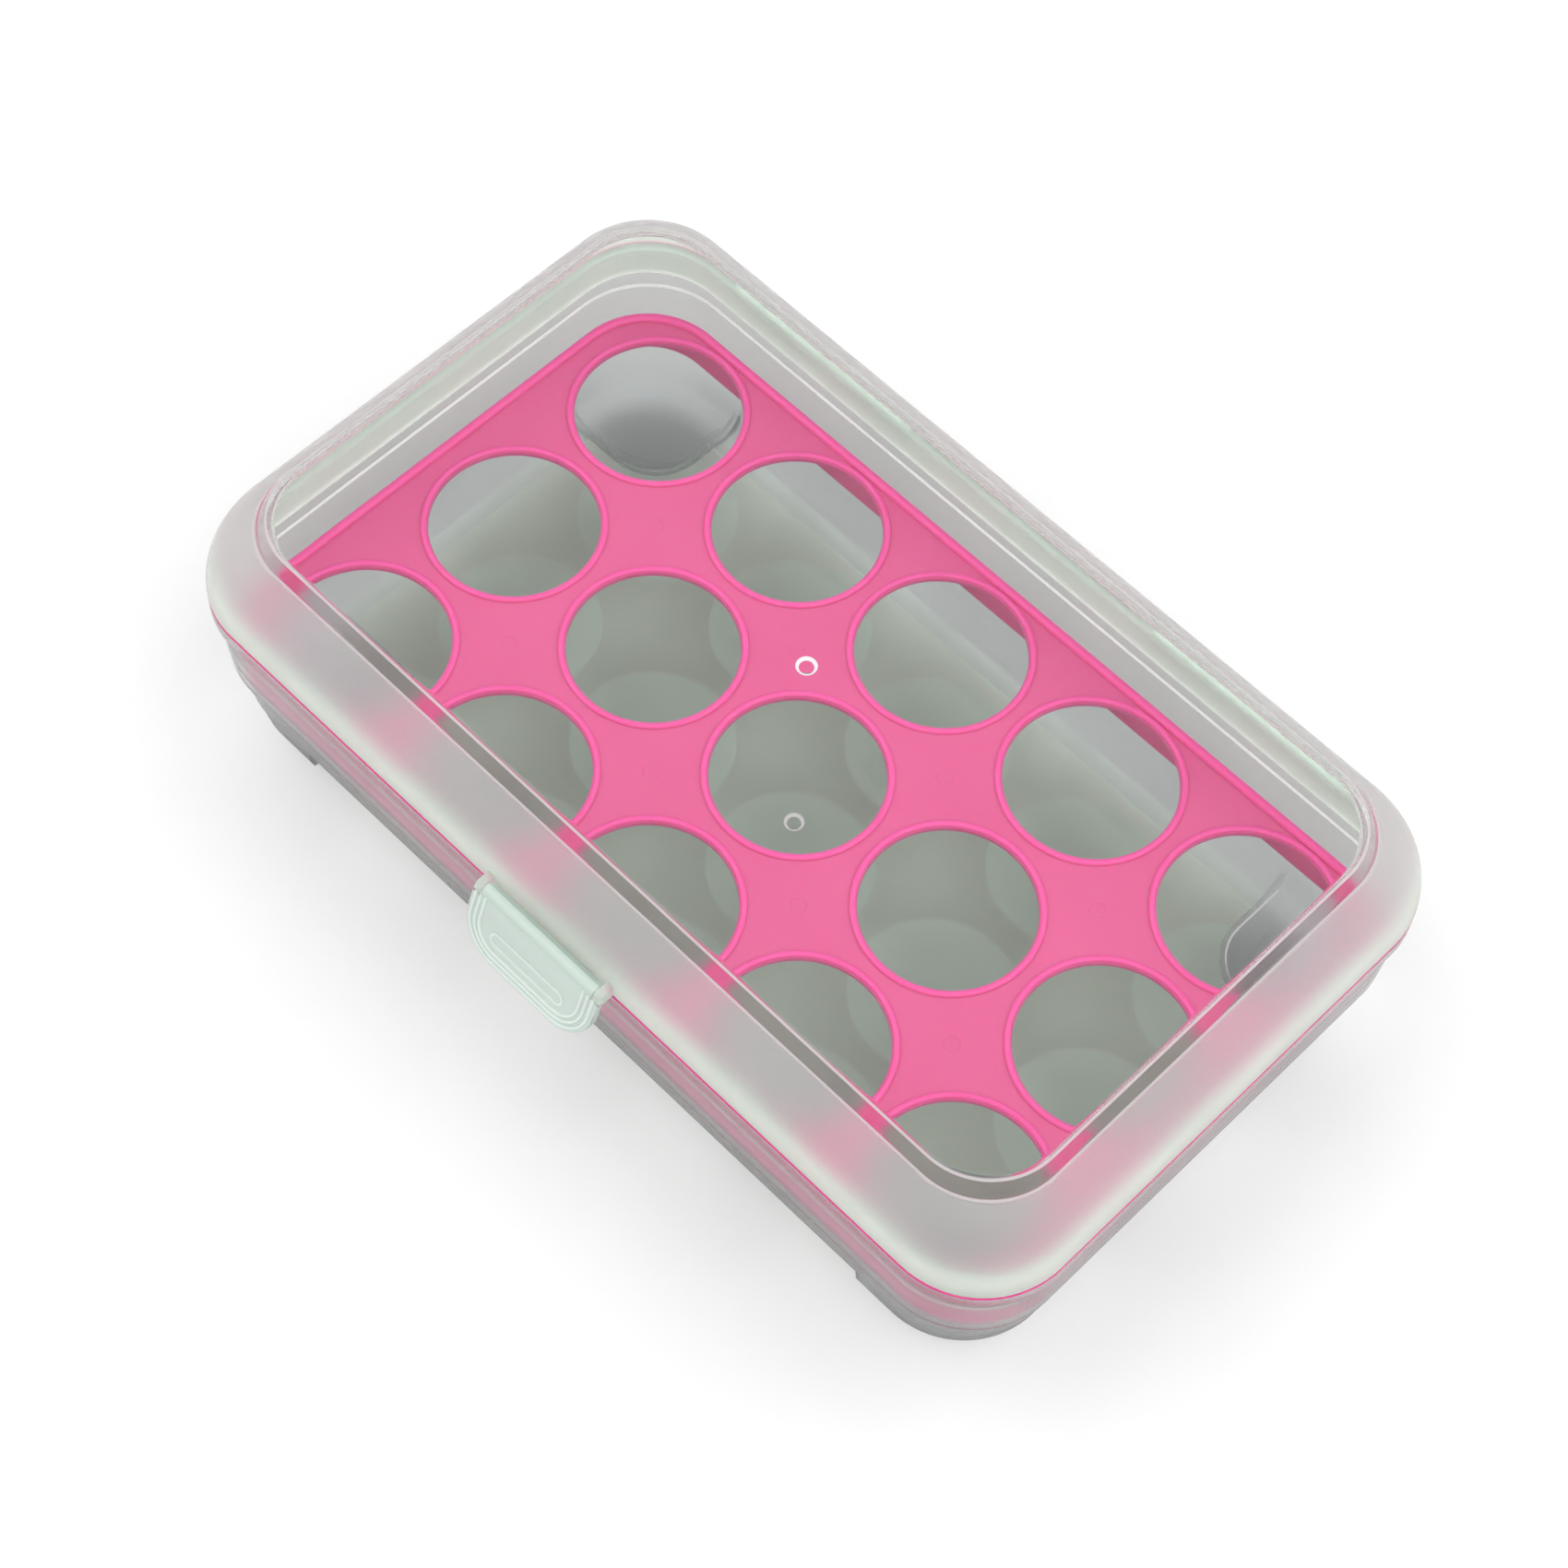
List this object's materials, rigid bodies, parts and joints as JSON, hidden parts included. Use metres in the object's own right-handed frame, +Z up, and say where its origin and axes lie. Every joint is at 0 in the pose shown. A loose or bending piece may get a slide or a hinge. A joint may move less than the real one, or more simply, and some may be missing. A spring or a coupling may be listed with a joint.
{
  "type": "egg storage box",
  "caption": "Clamshell egg box: translucent footed base, hinged domed lid with a clear raised panel, a lift-out tray with round egg holes, and a front snap latch.",
  "frame": {"origin": "centre of the object's bounding box, on the plane under its feet", "axes": "+X along the long side, -Y the latch side, +Y the hinge side, +Z up"},
  "size_m": [0.242, 0.1572, 0.0723],
  "materials": {
    "clear_shell": "translucent polypropylene, frosted on the sides and clear on the raised panel",
    "pink_tray": "semi-gloss coloured polypropylene",
    "mint_latch": "milky polypropylene with a faint green tint"
  },
  "bodies": {
    "base": {"base": "clear_shell"},
    "lid": {"lid": "clear_shell"},
    "egg_tray": {"egg_tray": "pink_tray"},
    "latch": {"latch": "mint_latch"}
  },
  "joints": [
    {"name": "lid_hinge", "type": "hinge", "parent": "base", "child": "lid", "pos_m": [0, 0.0763, 0.0485], "axis": [-1, 0, 0], "range_deg": [0, 180]},
    {"name": "latch_hinge", "type": "hinge", "parent": "lid", "child": "latch", "pos_m": [0, -0.0715, 0.0506], "axis": [-1, 0, 0], "range_deg": [0, 100]},
    {"name": "tray_lift", "type": "slide", "parent": "base", "child": "egg_tray", "axis": [0, 0, 1], "range_m": [0, 0.012]}
  ]
}
